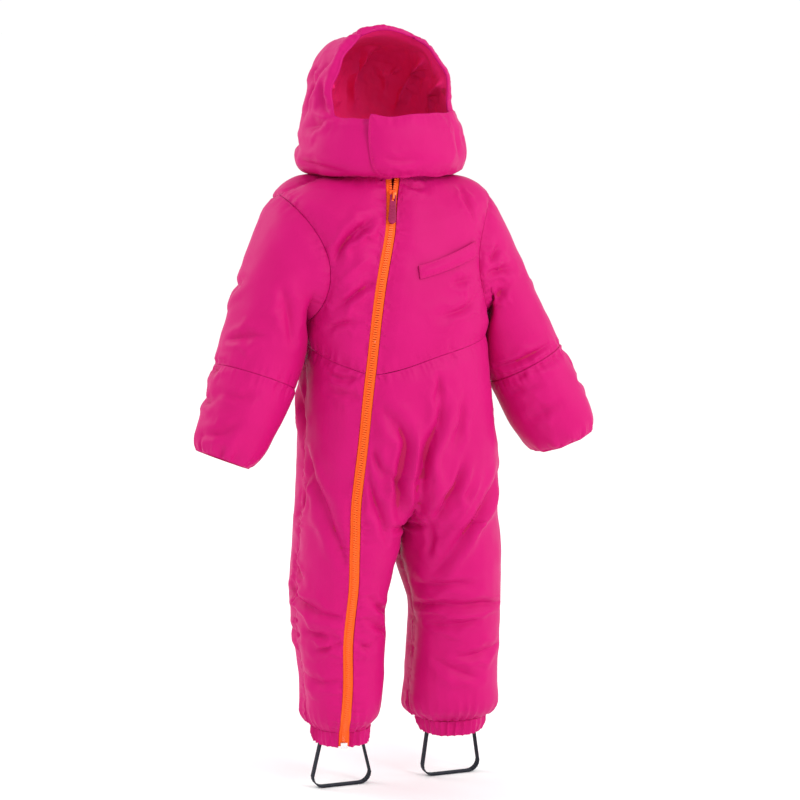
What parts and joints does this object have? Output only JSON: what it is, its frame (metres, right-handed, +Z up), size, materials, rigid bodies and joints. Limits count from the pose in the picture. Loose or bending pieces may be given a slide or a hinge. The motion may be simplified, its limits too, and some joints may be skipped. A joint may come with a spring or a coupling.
{
  "type": "baby snowsuit",
  "caption": "Padded one-piece toddler snowsuit with hood, overlapping chin flap, slanting front zip, gathered ankles and elastic under-foot straps, filled out as worn.",
  "frame": {"origin": "between the shoulders at the base of the neck, where the wearer's shoulders carry the suit", "axes": "+Z up along the body, -Y out of the suit's front, +X towards the wearer's left"},
  "size_m": [0.4989, 0.2402, 0.9035],
  "materials": {
    "shell": "magenta satin nylon over padding",
    "lining": "plain crimson lining cloth",
    "elastic": "flat woven black elastic",
    "zip_tape": "woven orange zip tape",
    "zip_teeth": "orange moulded teeth",
    "zip_slider": "orange lacquer",
    "zip_puller": "dark magenta moulded grip",
    "metal": "bright clamp"
  },
  "bodies": {
    "suit": {"chest_right": "shell", "chest_left": "shell", "back_yoke": "shell", "front_right_outer_leg": "shell", "front_belly_and_left_leg": "shell", "seat_and_right_leg_back": "shell", "seat_and_left_leg_back": "shell", "upper_sleeve_right": "shell", "upper_sleeve_left": "shell", "lower_sleeve_right": "shell", "lower_sleeve_left": "shell", "hood_side_right": "shell", "hood_side_left": "shell", "hood_middle": "shell", "hood_lining": "lining", "chin_flap": "shell", "chest_welt": "shell", "ankle_band_right": "shell", "ankle_band_left": "shell", "foot_strap_right": "elastic", "foot_strap_left": "elastic", "zip_tape_right": "zip_tape", "zip_tape_left": "zip_tape", "zip_teeth_right": "zip_teeth", "zip_teeth_left": "zip_teeth", "zip_slider": "zip_slider", "zip_bottom_stop": "metal"},
    "puller": {"zip_puller": "zip_puller"}
  },
  "joints": [
    {"name": "puller_swing", "type": "hinge", "parent": "suit", "child": "puller", "pos_m": [-0.01133, -0.07383, -0.01453], "axis": [-0.9859, 0.0806, 0.1468], "range_deg": [0, 115]}
  ]
}
